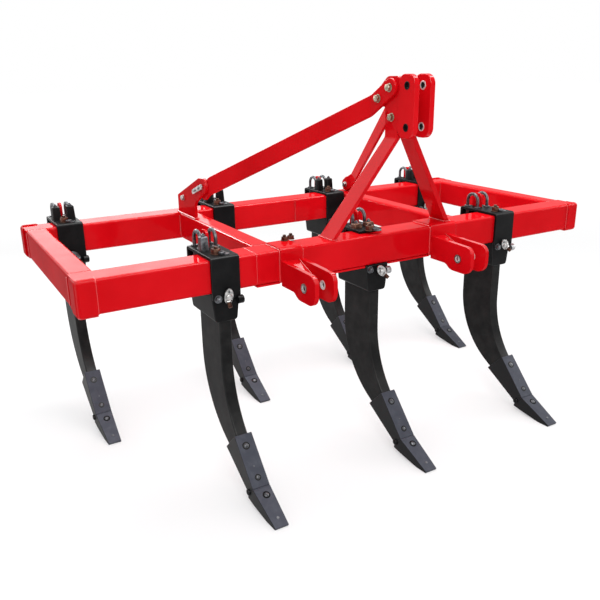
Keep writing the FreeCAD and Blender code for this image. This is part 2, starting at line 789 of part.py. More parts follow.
def build_point(x, face):
    """Reversible wedge point, narrowing to its tip and flat on the ground behind it."""
    body = new_body("point")
    sketch = outline(new_sketch(body, "YZ_Plane", "outline"), (
        ("-footAhead", "footHeight - beamTop"),
        ("-tipReach", "tipThick - beamTop"),
        ("-tipReach + tipThick / 2", "-beamTop"),
        ("-flatAhead", "-beamTop", "40"),
        ("-heelAhead", "heelHeight - beamTop", "3"),
        ("-footRearAhead", "footRearHeight - beamTop"),
    ))
    pad(body, sketch, "guardWidth")
    for side, name in ((-1, "flank_left"), (1, "flank_right")):
        flank = new_sketch(body, "XY_Plane", name)
        outline(flank, (
            (f"{side} * guardWidth / 2", "-footAhead"),
            (f"{side} * tipWidth / 2", "-tipReach"),
            (f"{side} * tipWidth / 2", "-tipReach - tipThick"),
            (f"{side} * guardWidth", "-tipReach - tipThick"),
            (f"{side} * guardWidth", "-footAhead"),
        ))
        pocket(body, flank, "4 * beamTop")
    return place(body, x, face, "beamTop")


def build_loop(x, face):
    """One clamp's pair of U-bolts: round bars bent over, standing behind the beam."""
    foot = "-beamHeight"
    rise = "loopHeight - loopReach / 2"
    bars = []
    for side in (-1, 1):
        pieces = []
        bar_x = f"{x} + {side} * loopOffset"
        for y in (LOOP_FRONT, f"{LOOP_FRONT} + loopReach"):
            leg = doc.addObject("Part::Cylinder", "loop_leg")
            leg.setExpression("Radius", bind("loopBar / 2"))
            leg.setExpression("Height", bind(f"{rise} - {foot}"))
            pieces.append(place(leg, bar_x, f"{face} + {y}", f"beamTop + {foot}"))
        bend = doc.addObject("Part::Torus", "loop_bend")
        bend.setExpression("Radius1", bind("loopReach / 2"))
        bend.setExpression("Radius2", bind("loopBar / 2"))
        bend.Angle3 = 180
        bend.Placement.Rotation = FreeCAD.Rotation(FreeCAD.Vector(0, 1, 0), FreeCAD.Vector(0, 0, 1),
                                                   FreeCAD.Vector(1, 0, 0), "XYZ")
        pieces.append(place(bend, bar_x, f"{face} + {LOOP_FRONT} + loopReach / 2", f"beamTop + {rise}"))
        bar = doc.addObject("Part::MultiFuse", "u_bolt")
        bar.Shapes = pieces
        bars.append(bar)
    pair = doc.addObject("Part::Compound", "u_bolt_pair")
    pair.Links = bars
    return pair


def build_key(x, face):
    """Clamp key: a tall rounded plate between the two U-bolts."""
    foot = "clampPlate + seatGap"
    low = f"{LOOP_FRONT} + 4"
    high = f"{LOOP_FRONT} + loopReach - 4"
    corners = (
        (low, foot),
        (high, foot),
        (high, f"{foot} + keyHeight", "keyHeight / 3"),
        (low, f"{foot} + keyHeight", "keyHeight / 3"),
    )
    return place(plate("clamp_key", corners, "keyThick"), x, face, "beamTop")


# Middle of each leg and the face of its beam; four clamps stand off the even spacing.
LEGS = {
    "front_left": ("(-2 * shankSpacing)", FRONT),
    "front_middle": ("0", FRONT),
    "front_right": ("(2 * shankSpacing + frontRightShift)", FRONT),
    "rear_far_left": ("(-3 * shankSpacing)", REAR),
    "rear_left": ("(rearLeftShift - shankSpacing)", REAR),
    "rear_right": ("(shankSpacing + rearRightShift)", REAR),
    "rear_far_right": ("(3 * shankSpacing - farRightShift)", REAR),
}


def build_legs():
    shared = {"sockets": build_socket, "shin_guards": build_guard, "points": build_point,
              "u_bolts": build_loop, "clamp_keys": build_key}
    grouped = {}
    for leg, (x, face) in LEGS.items():
        build_clamp(f"clamp_{leg}", x, face, leg == "front_middle")
        build_shank(f"shank_{leg}", x, face)
        row = leg.split("_")[0]
        for kind, build in shared.items():
            grouped.setdefault(f"{row}_{kind}", []).append(build(x, face))
    for label, parts in grouped.items():
        together(label, parts)


build_beams()
build_beam_ends()
build_long_tubes()
build_corner_sleeves()
build_doublers()
build_collars()
build_lower_hitch()
build_pin_rings()
build_yoke_plates()
build_mast_legs()
build_spacers()
build_brackets()
build_braces()
build_legs()
doc.recompute()

for item in doc.Objects:
    if "Invalid" in item.State or "Error" in item.State:
        raise RuntimeError(f"{item.Label}: {item.State}")
for item in nodes:
    if item.Shape.isNull() or not item.Shape.isValid():
        raise RuntimeError(f"{item.Label}: bad shape")

os.makedirs("parts", exist_ok=True)
for item in nodes:
    item.Shape.exportStep(f"parts/{item.Label}.step")
    box = item.Shape.BoundBox
    print(f"{item.Label}: {len(item.Shape.Solids)} solid, {item.Shape.Volume / 1e6:.3f} dm3, "
          f"x {box.XMin:.0f}..{box.XMax:.0f} y {box.YMin:.0f}..{box.YMax:.0f} "
          f"z {box.ZMin:.0f}..{box.ZMax:.0f}")
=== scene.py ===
import json
import math
import bmesh
import bpy
from mathutils import Matrix, Vector


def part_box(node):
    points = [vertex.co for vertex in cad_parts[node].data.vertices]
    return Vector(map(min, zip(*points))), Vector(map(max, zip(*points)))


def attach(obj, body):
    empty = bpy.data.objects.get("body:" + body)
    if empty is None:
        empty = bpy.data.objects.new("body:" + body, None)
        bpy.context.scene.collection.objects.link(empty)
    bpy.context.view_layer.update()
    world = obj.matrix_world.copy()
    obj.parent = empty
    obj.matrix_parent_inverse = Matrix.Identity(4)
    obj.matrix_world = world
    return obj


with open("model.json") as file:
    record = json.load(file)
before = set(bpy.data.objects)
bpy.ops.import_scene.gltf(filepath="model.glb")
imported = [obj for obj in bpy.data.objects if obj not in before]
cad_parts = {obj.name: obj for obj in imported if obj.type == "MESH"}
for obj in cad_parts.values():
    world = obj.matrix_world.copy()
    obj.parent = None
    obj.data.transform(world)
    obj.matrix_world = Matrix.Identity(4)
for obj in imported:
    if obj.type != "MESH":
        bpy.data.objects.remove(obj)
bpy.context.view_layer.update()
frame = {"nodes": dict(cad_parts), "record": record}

scene = bpy.context.scene
nodes = frame["nodes"]
mm = 0.001


# shader maths

class Term:  # a socket's value, used in sums like a number
    def __init__(self, finish, socket):
        self.finish, self.socket = finish, socket

    def maths(self, operation, first, second):
        return self.finish.add("Math", {"operation": operation}, {0: first, 1: second})

    def __add__(self, other): return self.maths("ADD", self, other)
    def __radd__(self, other): return self.maths("ADD", other, self)
    def __sub__(self, other): return self.maths("SUBTRACT", self, other)
    def __rsub__(self, other): return self.maths("SUBTRACT", other, self)
    def __mul__(self, other): return self.maths("MULTIPLY", self, other)
    def __rmul__(self, other): return self.maths("MULTIPLY", other, self)
    def __abs__(self): return self.maths("ABSOLUTE", self, 0.0)


class Finish:  # one material and the nodes that vary it
    def __init__(self, name, colour, metallic=0.0, roughness=0.4, **fixed):
        self.material = bpy.data.materials.new(name)
        self.material.use_nodes = True
        self.tree = self.material.node_tree
        self.shader = self.tree.nodes["Principled BSDF"]
        self.feed("Base Color", (*colour, 1))
        self.feed("Metallic", metallic)
        self.feed("Roughness", roughness)
        for socket, value in fixed.items():
            self.feed(socket.replace("_", " "), value)
        self.place = self.add("TexCoord", out="Object")

    def add(self, kind, settings=None, inputs=None, out=0):
        made = self.tree.nodes.new("ShaderNode" + kind)
        for key, value in (settings or {}).items():
            if key == "stops":
                made.color_ramp.elements[0].position = value[0]
                made.color_ramp.elements[1].position = value[1]
            else:
                setattr(made, key, value)
        for key, value in (inputs or {}).items():
            self.join(made.inputs[key], value)
        return Term(self, made.outputs[out])

    def join(self, socket, value):
        if isinstance(value, Term):
            self.tree.links.new(value.socket, socket)
        else:
            socket.default_value = value

    def feed(self, socket, value):
        self.join(self.shader.inputs[socket], value)

    def noise(self, scale, detail=3.0, roughness=0.5, stretch=None):
        place = self.place
        if stretch:
            place = self.add("Mapping", inputs={"Vector": place, "Scale": stretch})
        return self.add("TexNoise", inputs={"Vector": place, "Scale": scale, "Detail": detail,
                                            "Roughness": roughness})

    def ramp(self, value, low, high):
        return self.add("ValToRGB", {"stops": (low, high)}, {0: value})

    def facing(self):  # the surface's own direction, as x, y and z
        split = self.add("SeparateXYZ", inputs={0: self.add("TexCoord", out="Normal")})
        return [Term(self, socket) for socket in split.socket.node.outputs]

    def edges(self, low, high):  # 1 on the rounded edges between faces that lie along the axes; it sets where the coat paints highlights
        x, y, z = (abs(way) for way in self.facing())
        widest = x.maths("MAXIMUM", x.maths("MAXIMUM", x, y), z)
        return self.ramp(1 - widest, low, high)

    def mix(self, factor, first, second):
        first, second = ((*colour, 1) if isinstance(colour, tuple) else colour
                         for colour in (first, second))
        return self.add("Mix", {"data_type": "RGBA"}, {0: factor, 6: first, 7: second}, out=2)

    def bump(self, height, strength, distance):
        self.feed("Normal", self.add("Bump", inputs={"Height": height, "Strength": strength,
                                                     "Distance": distance}))


# paints: a noise is its scale, detail and roughness, a range is where a ramp starts and ends,
# and a rough spread is what a noise takes away and what it adds

framePaint = {
    "colour": (0.64, 0.0045, 0.009), "deep": (0.54, 0.002, 0.005), "patches": (3.5, 4),
    "patchRange": (0.35, 0.7), "cloud": (9.0, 5, 0.6), "roughness": 0.30,
    # painted sheen: the side and top shares give faces turned upwards more coat than the sides, so
    # they reflect more
    "roughSpread": (0.05, 0.1), "coat": 0.13, "coatSpread": (1.3, 0.6), "sideShare": 0.8,
    # painted highlights: the edge coat raises the coat on the rounded edges
    "topShare": 1.2, "topRange": (0.3, 0.95), "edgeCoat": 1.0, "edgeRange": (0.2, 0.28),
    "peel": (160.0, 2), "peelStrength": 0.25, "peelDepth": 0.0004,
}
slimPaint = {  # for the pieces that slant, where the edges can't be told by their direction; their faces turned upwards get painted sheen, more coat, in place of edge highlights
    **framePaint, "edgeCoat": 0.0, "leanCoat": 0.85, "leanRange": (0.2, 0.45),
}
weldPaint = {
    "colour": framePaint["colour"], "deep": framePaint["deep"], "patches": (60.0, 4),
    "patchRange": (0.4, 0.7), "roughness": 0.26, "grain": (420.0, 3), "grainStrength": 0.4,
    "grainDepth": 0.0006,
}
castPaint = {  # what the two black paints share
    "patches": (14.0, 5, 0.65), "patchRange": (0.38, 0.75), "roughSpread": (0.08, 0.16),
    # painted highlights: where the coat goes on the rounded edges
    "edgeRange": (0.1, 0.24), "grainStrength": 0.35,
}
clampPaint = {
    **castPaint, "colour": (0.0048, 0.0049, 0.0052), "pale": (0.0095, 0.0096, 0.01),
    "specular": 0.07, "roughness": 0.46, "grain": (420.0, 4, 0.6), "grainDepth": 0.0004,
    "edgeCoat": 0.6,
}
legPaint = {
    **castPaint, "colour": (0.0070, 0.0070, 0.0072), "pale": (0.020, 0.0197, 0.0192),
    "specular": 0.08, "roughness": 0.50, "grain": (260.0, 4, 0.6), "grainDepth": 0.0003,
    "edgeCoat": 0.4,
}


def makeFramePaint(name, size):
    paint = Finish(name, size["colour"], roughness=size["roughness"],
                   Specular_IOR_Level=0.0, Coat_Roughness=0.06, Coat_IOR=1.5)
    patches = paint.ramp(paint.noise(*size["patches"]), *size["patchRange"])
    paint.feed("Base Color", paint.mix(patches, size["colour"], size["deep"]))
    cloud = paint.noise(*size["cloud"])
    less, more = size["roughSpread"]
    paint.feed("Roughness", size["roughness"] - less + more * cloud)
    # painted sheen: the coat weight grows on faces turned upwards
    top = paint.ramp(paint.facing()[2], *size["topRange"])
    most, less = size["coatSpread"]
    coat = size["coat"] * (most - less * cloud) * (size["sideShare"] + size["topShare"] * top)
    # painted highlights: more coat on the rounded edges
    if size["edgeCoat"]:
        coat = coat + size["edgeCoat"] * paint.edges(*size["edgeRange"])
    else:
        # painted sheen: the slanting pieces' coat grows on faces turned upwards
        coat = coat + size["leanCoat"] * paint.ramp(paint.facing()[2], *size["leanRange"])
    paint.feed("Coat Weight", coat)
    paint.bump(paint.noise(*size["peel"]), size["peelStrength"], size["peelDepth"])
    return paint.material


def makeWeldPaint(size):
    paint = Finish("weldPaint", size["colour"], roughness=size["roughness"],
                   Specular_IOR_Level=0.3, Coat_Weight=1.0, Coat_Roughness=0.16)
    patches = paint.ramp(paint.noise(*size["patches"]), *size["patchRange"])
    paint.feed("Base Color", paint.mix(patches, size["colour"], size["deep"]))
    paint.bump(paint.noise(*size["grain"]), size["grainStrength"], size["grainDepth"])
    return paint.material


def makeCastPaint(name, size):
    paint = Finish(name, size["colour"], roughness=size["roughness"],
                   Specular_IOR_Level=size["specular"], Coat_Roughness=0.22)
    patches = paint.ramp(paint.noise(*size["patches"]), *size["patchRange"])
    paint.feed("Base Color", paint.mix(patches, size["colour"], size["pale"]))
    grain = paint.noise(*size["grain"])
    less, more = size["roughSpread"]
    paint.feed("Roughness", size["roughness"] - less + more * grain)
    # painted highlights: coat only on the rounded edges
    paint.feed("Coat Weight", size["edgeCoat"] * paint.edges(*size["edgeRange"]))
    paint.bump(grain, size["grainStrength"], size["grainDepth"])
    return paint.material


# metals

wearSteel = {  # scratched and worn in spots on the front; the sides get painted shade, a dark colour by the way they face
    "colour": (0.056, 0.0595, 0.075), "pale": (0.092, 0.097, 0.116), "side": (0.011, 0.0112, 0.012),
    "sideRange": (0.45, 0.8), "metallic": 0.35, "roughness": 0.42, "rubRough": (0.36, 0.18),
    "scratches": (60.0, 5, 0.6, (1.0, 0.12, 0.12)), "spots": (22.0, 5, 0.6),
    "spotRange": (0.42, 0.72), "grain": (500.0, 3), "grainShare": 0.5, "grainStrength": 0.3,
    "grainDepth": 0.0003,
}
metalGrain = {  # what all the bolts' metals share
    "cloud": (70.0, 4), "cloudRange": (0.35, 0.68), "grain": (900.0, 3),
    "roughSpread": (0.06, 0.14), "grainStrength": 0.2, "grainDepth": 0.0002,
}
metals = {
    "zincSteel": {"colour": (0.27, 0.27, 0.265), "pale": (0.62, 0.61, 0.60), "roughness": 0.30,
                  "metallic": 1.0},
    "darkSteel": {"colour": (0.05, 0.052, 0.057), "pale": (0.17, 0.175, 0.187), "roughness": 0.34,
                  "metallic": 0.85},
    "bronzeBolt": {"colour": (0.05, 0.017, 0.012), "pale": (0.17, 0.085, 0.055), "roughness": 0.36,
                   "metallic": 0.85},
    "wornBolt": {"colour": (0.24, 0.245, 0.26), "pale": (0.5, 0.5, 0.5), "roughness": 0.38,
                 "metallic": 0.9},
    "yellowZinc": {"colour": (0.2, 0.165, 0.11), "pale": (0.5, 0.45, 0.35), "roughness": 0.32,
                   "metallic": 1.0},
    "linerSteel": {"colour": (0.55, 0.55, 0.55), "pale": (0.88, 0.87, 0.86), "roughness": 0.36,
                   "metallic": 0.55},
}


def makeWearSteel(size):
    steel = Finish("wearSteel", size["colour"], size["metallic"], size["roughness"],
                   Specular_IOR_Level=0.1)
    rub = steel.noise(*size["scratches"])
    spots = steel.ramp(steel.noise(*size["spots"]), *size["spotRange"])
    # painted shade: faces turned along x take the dark side colour and lose their metal
    side = steel.ramp(abs(steel.facing()[0]), *size["sideRange"])
    front = steel.mix(spots * rub, size["colour"], size["pale"])
    steel.feed("Base Color", steel.mix(side, front, size["side"]))
    steel.feed("Metallic", size["metallic"] - size["metallic"] * side)
    least, more = size["rubRough"]
    steel.feed("Roughness", least + more * rub)
    steel.bump(rub + size["grainShare"] * steel.noise(*size["grain"]), size["grainStrength"],
               size["grainDepth"])
    return steel.material


def makeMetal(name, size):
    metal = Finish(name, size["colour"], size["metallic"], size["roughness"])
    cloud = metal.ramp(metal.noise(*metalGrain["cloud"]), *metalGrain["cloudRange"])
    metal.feed("Base Color", metal.mix(cloud, size["colour"], size["pale"]))
    grain = metal.noise(*metalGrain["grain"])
    less, more = metalGrain["roughSpread"]
    metal.feed("Roughness", size["roughness"] - less + more * grain)
    metal.bump(grain, metalGrain["grainStrength"], metalGrain["grainDepth"])
    return metal.material


boltFinish = {name: makeMetal(name, size) for name, size in metals.items()}
finishes = {
    "frame_paint": makeFramePaint("framePaint", framePaint),
    "clamp_paint": makeCastPaint("clampPaint", clampPaint),
    "leg_paint": makeCastPaint("legPaint", legPaint),
    "wear_steel": makeWearSteel(wearSteel),
    "zinc_steel": boltFinish["zincSteel"],
    "dark_steel": boltFinish["darkSteel"],
}
weldFinish = makeWeldPaint(weldPaint)
slimFinish = makeFramePaint("slimPaint", slimPaint)
made = {*finishes.values(), *boltFinish.values(), weldFinish, slimFinish}
print("finishes made:", len(made))


# construction nodes: finish and rounded edges

edgeRounds = {  # mm, by the start of a node's name
    "clamp_": 3.0, "front_sockets": 5.0, "rear_sockets": 5.0, "shank_": 6.0,
    "front_shin": 2.5, "rear_shin": 2.5, "front_points": 2.5, "rear_points": 2.5,
    "lower_hitch": 2.0, "top_link": 4.0, "mast_leg": 2.0, "brace_bracket": 2.5, "brace_": 3.5,
    "hitch_collar": 1.2, "front_clamp_keys": 2.0, "rear_clamp_keys": 2.0,
}
nodeFinish = {  # mm and degrees
    "merge": 0.02, "flat": 0.6, "segments": 3, "roundFrom": 40, "splitFrom": 38,
    "slanting": ("mast_leg", "brace_", "lower_hitch"), "absolute": "mast_leg",
}


def roundEdges(item, width, absolute):
    bevel = item.modifiers.new("edges", "BEVEL")
    bevel.width = width * mm
    bevel.segments = nodeFinish["segments"]
    bevel.limit_method = "ANGLE"
    bevel.angle_limit = math.radians(nodeFinish["roundFrom"])
    bevel.use_clamp_overlap = False
    bevel.loop_slide = False
    if absolute:
        bevel.offset_type = "ABSOLUTE"


def finishNodes(rounds):
    slotOf = {part["node"]: part["material_slot"] for part in frame["record"]["subparts"]}
    for name, item in nodes.items():
        slanting = name.startswith(nodeFinish["slanting"])
        item.data.materials.clear()
        item.data.materials.append(slimFinish if slanting else finishes[slotOf[name]])
        item.data.polygons.foreach_set("use_smooth", [True] * len(item.data.polygons))
        weld = item.modifiers.new("weld", "WELD")
        weld.merge_threshold = nodeFinish["merge"] * mm
        flat = item.modifiers.new("flat", "DECIMATE")
        flat.decimate_type = "DISSOLVE"
        flat.angle_limit = math.radians(nodeFinish["flat"])
        width = next((size for start, size in rounds.items() if name.startswith(start)), 0)
        if width:
            roundEdges(item, width, name.startswith(nodeFinish["absolute"]))
        else:
            split = item.modifiers.new("split", "EDGE_SPLIT")
            split.split_angle = math.radians(nodeFinish["splitFrom"])
        normals = item.modifiers.new("normals", "WEIGHTED_NORMAL")
        normals.keep_sharp = True


finishNodes(edgeRounds)
print("construction nodes finished:", len(nodes))


# places on the machine

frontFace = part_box("front_beam")[0][1]
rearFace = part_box("rear_beam")[0][1]
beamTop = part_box("front_beam")[1][2]
beamWide = (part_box("front_beam")[1][1] - frontFace) / mm
rearBack = (rearFace - frontFace) / mm
legNames = ("front_left", "front_middle", "front_right", "rear_far_left", "rear_left",
            "rear_right", "rear_far_right")


def spot(x, back, up):  # mm right of the middle, behind the front beam's face, above the beams
    return Vector((x * mm, frontFace + back * mm, beamTop + up * mm))


def legMiddle(leg):  # mm from the machine's middle
    low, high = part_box("clamp_" + leg)
    return (low[0] + high[0]) / 2 / mm


def beamStart(leg):  # mm from the front beam's face to the face of the leg's own beam
    return rearBack if leg.startswith("rear") else 0


# tools for new pieces

def addShaped(shape, part, matrix):  # takes a part into a piece's shape through a matrix
    bmesh.ops.transform(part, matrix=matrix, verts=part.verts)
    spare = bpy.data.meshes.new("spare")
    part.to_mesh(spare)
    part.free()
    shape.from_mesh(spare)
    bpy.data.meshes.remove(spare)


def addPart(shape, part, at, axis=(0, 0, 1), roll=0.0):  # stands a part on a spot, along an axis
    stand = Vector(axis).to_track_quat("Z", "X").to_matrix().to_4x4()
    spin = Matrix.Rotation(math.radians(roll), 4, "Z")
    addShaped(shape, part, Matrix.Translation(at) @ stand @ spin)


def turned(outline, sides=20):  # (radius, height) pairs in mm, turned about the height
    part = bmesh.new()
    rows = [part.verts.new((radius * mm, 0, height * mm)) for radius, height in outline]
    edges = [part.edges.new(pair) for pair in zip(rows, rows[1:])]
    bmesh.ops.spin(part, geom=rows + edges, axis=(0, 0, 1), cent=(0, 0, 0), angle=math.tau,
                   steps=sides, use_merge=True, use_duplicate=False)
    bmesh.ops.remove_doubles(part, verts=part.verts, dist=0.002 * mm)
    bmesh.ops.recalc_face_normals(part, faces=part.faces)
    return part


def roundRims(part, edges, width, segments):
    bmesh.ops.bevel(part, geom=edges, offset=width * mm, affect="EDGES", segments=segments,
                    profile=0.5, material=-1)


def hexagon(flats, height, chamfer=0.12, rim=0.03):  # six-sided head or nut standing on its base
    radius = flats / math.sqrt(3) * mm
    half = height * mm / 2
    part = bmesh.new()
    bmesh.ops.create_cone(part, cap_ends=True, segments=6, radius1=radius, radius2=radius,
                          depth=height * mm, matrix=Matrix.Translation((0, 0, half)))
    bmesh.ops.bevel(part, geom=[vert for vert in part.verts if vert.co.z > half],
                    offset=chamfer * flats * mm, affect="VERTICES", segments=1, profile=0.5,
                    material=-1)
    upper = [edge for edge in part.edges if all(vert.co.z > half for vert in edge.verts)]
    roundRims(part, upper, rim * flats, 2)
    return part


def ringOutline(inner, outer, height, soft=0.6):
    return ((inner, 0), (outer, 0), (outer, height - soft), (outer - soft, height), (inner, height),
            (inner, 0))


def tubeOutline(inner, low, high, wall=0.5):
    return ((inner, low), (inner + wall, low), (inner + wall, high), (inner, high), (inner, low))


threadShape = {  # pitch in mm, then shares of the pitch and of the radius
    "pitch": 2.5, "crest": 0.3, "groove": 0.65, "core": 0.88, "tip": 0.8, "tipRise": 0.2,
}


def threadOutline(radius, start, end):
    size, pitch = threadShape, threadShape["pitch"]
    outline = [(0, start), (radius, start)]
    for turn in range(int((end - start) / pitch)):
        low = start + turn * pitch
        outline += [(radius, low + size["crest"] * pitch),
                    (size["core"] * radius, low + size["groove"] * pitch), (radius, low + pitch)]
    top = end + size["tipRise"] * radius
    return outline + [(size["tip"] * radius, top), (0, top)]


def domeOutline(radius, height, lip):
    arc = [(radius * math.cos(math.radians(a)), lip + (height - lip) * math.sin(math.radians(a)))
           for a in range(0, 90, 15)]
    return [(0, 0), (radius, 0)] + arc + [(0, height)]


plateShape = {"sides": 32, "rim": 1.5, "rimSegments": 3, "taper": 1.5}


def stadium(length, width, thick, neck=1.0):  # flat plate with round ends, standing on its base
    part = bmesh.new()
    half, radius = (length - width) / 2 * mm, width / 2 * mm
    bmesh.ops.create_cone(part, cap_ends=True, segments=plateShape["sides"], radius1=radius,
                          radius2=radius, depth=thick * mm,
                          matrix=Matrix.Translation((0, 0, thick * mm / 2)))
    for side in (-1, 1):
        ends = [vert for vert in part.verts if vert.co.x * side > 0.5 * mm]
        bmesh.ops.translate(part, verts=ends, vec=(side * half, 0, 0))
    for vert in part.verts:  # each end is drawn in towards its neck
        share = min(1, abs(vert.co.x) / (length / 2 * mm))
        vert.co.y *= 1 - (1 - neck) * share ** plateShape["taper"]
    level = 0.5 * thick * mm
    upper = [edge for edge in part.edges if all(vert.co.z > level for vert in edge.verts)]
    roundRims(part, upper, plateShape["rim"], plateShape["rimSegments"])
    return part


def addBolt(shape, at, axis, size, roll=0.0):
    # washer, six-sided head and thread end, as many of them as the size names
    level = 0.0
    way = Vector(axis).normalized()
    if "washer" in size:
        outer, thick = size["washer"]
        addPart(shape, turned(ringOutline(size["hole"] / 2, outer / 2, thick), 28), at, way)
        level = thick
    if "head" in size:
        flats, height = size["head"]
        addPart(shape, hexagon(flats, height), Vector(at) + way * level * mm, way, roll)
        level += height
    if "thread" in size:
        radius, length = size["thread"]
        addPart(shape, turned(threadOutline(radius, level - 1, level + length), 16), at, way)


def finishPiece(shape, name, finish, sharp=35):
    bmesh.ops.recalc_face_normals(shape, faces=shape.faces)
    mesh = bpy.data.meshes.new(name)
    shape.to_mesh(mesh)
    shape.free()
    mesh.materials.append(finish)
    mesh.polygons.foreach_set("use_smooth", [True] * len(mesh.polygons))
    mesh.set_sharp_from_angle(angle=math.radians(sharp))
    piece = bpy.data.objects.new(name, mesh)
    scene.collection.objects.link(piece)
    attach(piece, "root")
    print(name, "made:", len(mesh.polygons), "faces")


# hardware on the clamps

clampFace = {"middle": 0.3, "others": -14.3}  # mm behind the beam's face
clampFlange = {  # two-bolt flange on the clamp's face, with a nut and a stud under it
    "side": 3, "height": -151, "ahead": 7, "middleSide": 8, "middleHeight": -166, "middleAhead": 22,
    "lean": 12, "turn": 42, "length": 72, "width": 42, "thick": 6, "neck": 0.62,
    "boss": (15, 15, 10), "bossDrop": 4, "eye": (5, 1.2, 0.4), "eyeRise": 22,
    "head": (25, 9), "headRoll": 20, "stud": (9, 20), "studDrop": 22, "studLift": 2, "studTilt": 52,
    "packing": (14, 12, 8), "packingDrop": 8, "straight": "front_left", "darkened": "rear_far_left",
}
sideBolt = {
    "radius": 18, "reach": (44, 73), "soft": 6, "height": -174, "ahead": 4,
    "painted": ("front_left", "rear_far_left"),
}
faceNut = {
    "side": -40, "height": -160, "washer": (34, 3), "head": (24, 11), "hole": 18, "thread": (8, 4),
    "roll": 10,
}
loopNut = {
    "spots": ((-34, 154), (34, 154), (-34, 226), (34, 226)), "inner": 16.8, "outer": 32, "thick": 5,
}
topNuts = {
    "bronze": ((-14, 46), {"washer": (44, 3), "head": (34, 20), "hole": 20, "thread": (9, 7)}),
    "dark": ((17, 24), {"washer": (34, 4), "hole": 13}),
    "roll": 12,
}
eyeNut = {"spot": (1, 24), "up": 4, "inner": 6.5, "outer": 14, "height": 9, "soft": 2}
saddleBlock = {  # blocks that lock the U-bolts' feet: width, depth and height in mm
    "side": 35, "back": 143, "row": (42, 44, 66), "front": (40, 38, 60), "bar": (46, 40, 22),
    "soft": 7, "softSegments": 3, "waist": 0.16, "nut": {"head": (17, 8), "thread": (5, 4)},
    "nutRoll": 15, "sides": {"front_left": (-1,), "front_right": ()},
}


def addBlock(shape, at, width, depth, tall):  # soft-edged block with a waist, on its base
    part = bmesh.new()
    size = Matrix.Diagonal((width * mm, depth * mm, tall * mm, 1))
    bmesh.ops.create_cube(part, size=1, matrix=Matrix.Translation((0, 0, tall / 2 * mm)) @ size)
    rims = [edge for edge in part.edges if max(vert.co.z for vert in edge.verts) > mm]
    roundRims(part, rims, saddleBlock["soft"], saddleBlock["softSegments"])
    for vert in part.verts:  # drawn in towards the top
        share = 1 - saddleBlock["waist"] * vert.co.z / (tall * mm)
        vert.co.x *= share
        vert.co.y *= share
    addPart(shape, part, at)


def addFlange(shapes, leg, x, start, face):
    size = clampFlange
    lean, tilt = math.radians(size["lean"]), math.radians(size["studTilt"])
    turn = 0 if leg == size["straight"] else size["turn"]
    out = Vector((0, -math.cos(lean), -math.sin(lean)))
    spin = Matrix.Rotation(math.radians(turn), 3, out)
    down = spin @ Vector((0, math.sin(lean), -math.cos(lean)))
    way = spin @ Vector((0, -math.cos(tilt), -math.sin(tilt)))
    middle = leg == "front_middle"
    if middle:
        seat = spot(x + size["middleSide"], start - size["middleAhead"], size["middleHeight"])
    else:
        seat = spot(x + size["side"], start + face - size["ahead"], size["height"])
    metal = shapes["dark" if leg == size["darkened"] else "silver"]
    plate = stadium(size["length"], size["width"], size["thick"], size["neck"])
    addPart(metal, plate, seat, out, turn)
    addPart(metal, turned(domeOutline(*size["boss"]), 24), seat + down * size["bossDrop"] * mm, out)
    eye = seat - down * size["eyeRise"] * mm + out * size["thick"] * mm
    addPart(shapes["dark"], turned(domeOutline(*size["eye"]), 16), eye, out)
    stud = seat + down * size["studDrop"] * mm + out * size["studLift"] * mm
    addBolt(metal, stud, way, {"head": size["head"]}, size["headRoll"])
    addBolt(shapes["bronze"], stud + way * size["head"][1] * mm, way, {"thread": size["stud"]})
    if not middle:  # packing between the flange's foot and the clamp
        packing = turned(domeOutline(*size["packing"]), 20)
        addPart(shapes["cast"], packing, seat - out * size["packingDrop"] * mm, out)


def addSideBolts(shapes, leg, x, start, face):
    near, far = sideBolt["reach"]
    reach = far - near
    boss = turned(domeOutline(sideBolt["radius"], reach, reach - sideBolt["soft"]), 24)
    addPart(shapes["cast" if leg in sideBolt["painted"] else "worn"], boss,
            spot(x + near, start + face - sideBolt["ahead"], sideBolt["height"]), (1, 0, 0))
    addBolt(shapes["dark"], spot(x + faceNut["side"], start + face, faceNut["height"]),
            (0, -1, 0), faceNut, faceNut["roll"])


def addTopNuts(shapes, x, start, level):
    for side, back in loopNut["spots"]:
        ring = ringOutline(loopNut["inner"] / 2, loopNut["outer"] / 2, loopNut["thick"])
        addPart(shapes["dark"], turned(ring, 20), spot(x + side, start + back, level))
    for name in ("bronze", "dark"):
        (side, back), size = topNuts[name]
        addBolt(shapes[name], spot(x + side, start + back, level), (0, 0, 1), size, topNuts["roll"])


def addEyeNut(shapes, x, start, level):
    side, back = eyeNut["spot"]
    ring = ringOutline(eyeNut["inner"], eyeNut["outer"], eyeNut["height"], eyeNut["soft"])
    addPart(shapes["dark"], turned(ring, 20), spot(x + side, start + back, level + eyeNut["up"]))


def addSaddleBlocks(shapes, leg, x, start, level):
    kind = "row" if start else "bar" if leg == "front_middle" else "front"
    finish = "cast" if start else "dark" if leg == "front_left" else "bronze"
    width, depth, tall = saddleBlock[kind]
    back = start + saddleBlock["back"] - depth / 2
    for side in saddleBlock["sides"].get(leg, (-1, 1)):
        across = x + side * saddleBlock["side"]
        addBlock(shapes[finish], spot(across, back, level), width, depth, tall)
        addBolt(shapes["dark"], spot(across, back, level + tall), (0, 0, 1), saddleBlock["nut"],
                saddleBlock["nutRoll"] * side)


